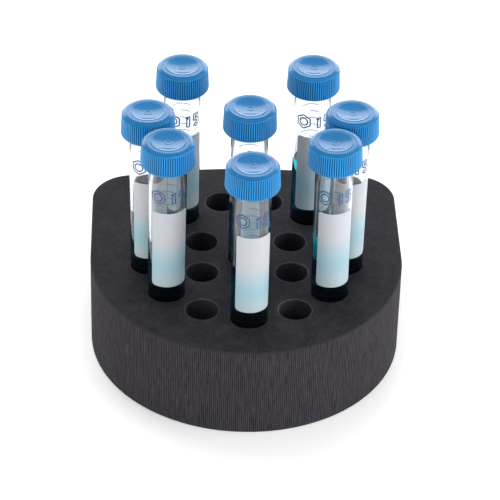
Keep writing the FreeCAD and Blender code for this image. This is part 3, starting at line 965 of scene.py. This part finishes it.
def makeLiner(number):
    # turned disc with round edges, and a faint ring of triangular section where the tube's mouth presses
    low, high = nodeBox("liner_1")
    radius, soft = (high[0] - low[0]) / 2, 0.2 * mm
    under, over = heightsOf("liner")
    seat = tubeLook["radius"] - tubeLook["wall"] / 2
    radii = np.array([seat - 0.6 * mm, seat - 0.3 * mm, seat, seat + 0.3 * mm, seat + 0.6 * mm])
    pressed = under + 0.05 * mm * (1 - np.abs(radii - seat) / (0.6 * mm))
    profile = np.concatenate([
        np.stack([radii, pressed], -1), arcRows((radius - soft, under + soft), soft, -90, 0, 4),
        arcRows((radius - soft, over - soft), soft, 0, 90, 4), [[radius / 2, over]],
    ])
    columns = 96
    points = roundPoints(profile[:, :1] * np.ones((1, columns)), profile[:, 1:])
    total = len(points)
    faces = bandFaces(len(profile), columns)
    faces += fanFaces(total, 0, columns, True)
    faces += fanFaces(total + 1, (len(profile) - 1) * columns, columns, False)
    points = stand(number, np.concatenate([points, [[0, 0, under], [0, 0, over]]]))
    body = node = f"liner_{number}"
    return makePiece(f"sealingLiner{number}", points, faces, body, linerFinish, 40, [node])


makeBlock()
print("foam block made")
for number in tubeNumbers:
    makeTube(number)
    makeLiquid(number)
    makeLabel(number)
    makeMark(number)
    makeScale(number)
    makeCap(number)
    makeLiner(number)
print("tubes made:", tubeCount)


view = dict(lens=188.39, pitch=36.32, yaw=2.49, roll=1.62, place=(-38.4 * mm, -918.0 * mm, 721.9 * mm))


def makeCamera():
    # looks down by its pitch and aside by its yaw, from its place, and turns about its own axis by its roll
    pitch, yaw, roll = (math.radians(view[key]) for key in ("pitch", "yaw", "roll"))
    forward = Vector((math.sin(yaw) * math.cos(pitch), math.cos(yaw) * math.cos(pitch), -math.sin(pitch)))
    level = Vector((math.cos(yaw), -math.sin(yaw), 0))
    upright = level.cross(forward)
    right = level * math.cos(roll) + upright * math.sin(roll)
    up = upright * math.cos(roll) - level * math.sin(roll)
    lens = bpy.data.cameras.new("camera")
    lens.lens = view["lens"]
    lens.sensor_width = 36
    camera = bpy.data.objects.new("camera", lens)
    bpy.context.scene.collection.objects.link(camera)
    turned = Matrix((right, up, -forward)).transposed().to_4x4()
    camera.matrix_world = Matrix.Translation(view["place"]) @ turned
    bpy.context.scene.camera = camera


studio = dict(
    floorSize=6.0, floorColour=(0.95, 0.95, 0.95), floorGlow=0.29, sky=0.62, middle=(0, 0, 60 * mm),
    backPanel=dict(place=(0, 1.5, 0.685), aim=(0, 0, 0.685), size=(3.2, 1.3), power=46),
    fillLeft=dict(place=(-0.9, -1.0, 0.42), size=(1.2, 0.9), power=3.8),
    keyRight=dict(place=(1.2, -0.35, 0.42), size=(1.2, 0.9), power=10),
    topRear=dict(place=(-0.1, 0.55, 1.05), size=(0.8, 0.5), power=7),
)


def makeFloor():
    half = studio["floorSize"] / 2
    mesh = bpy.data.meshes.new("floor")
    corners = [(-half, -half), (half, -half), (half, half), (-half, half)]
    mesh.from_pydata([(x, y, -0.05 * mm) for x, y in corners], [], [(0, 1, 2, 3)])
    floor = bpy.data.objects.new("floor", mesh)
    bpy.context.scene.collection.objects.link(floor)
    material, nodes, links, shader = newMaterial("paleFloor")
    shader.inputs["Base Color"].default_value = (*studio["floorColour"], 1)
    shader.inputs["Roughness"].default_value = 0.9
    shader.inputs["Emission Color"].default_value = (1, 1, 1, 1)
    shader.inputs["Emission Strength"].default_value = studio["floorGlow"]
    mesh.materials.append(material)


def areaLight(name, place, size, power, aim=studio["middle"]):
    light = bpy.data.lights.new(name, "AREA")
    light.shape = "RECTANGLE"
    light.size, light.size_y = size
    light.energy = power
    lamp = bpy.data.objects.new(name, light)
    bpy.context.scene.collection.objects.link(lamp)
    lamp.location = place
    lamp.rotation_mode = "QUATERNION"
    lamp.rotation_quaternion = (Vector(aim) - Vector(place)).to_track_quat("-Z", "Y")
    lamp.visible_camera = False
    return lamp


def makeWorld():
    world = bpy.data.worlds.new("studioSky")
    world.use_nodes = True
    background = world.node_tree.nodes["Background"]
    background.inputs["Color"].default_value = (0.98, 0.99, 1.0, 1)
    background.inputs["Strength"].default_value = studio["sky"]
    bpy.context.scene.world = world


makeCamera()
makeFloor()
makeWorld()
# the panel behind shows in the glossy caps and clear walls, and lights nothing else
backPanel = areaLight("backPanel", **studio["backPanel"])
backPanel.visible_diffuse = False
areaLight("fillLeft", **studio["fillLeft"])
areaLight("keyRight", **studio["keyRight"])
# the light above the back only shades, and shows in nothing
topRear = areaLight("topRear", **studio["topRear"])
topRear.visible_glossy = False
bpy.context.scene.view_settings.view_transform = "Standard"
print("stage made")
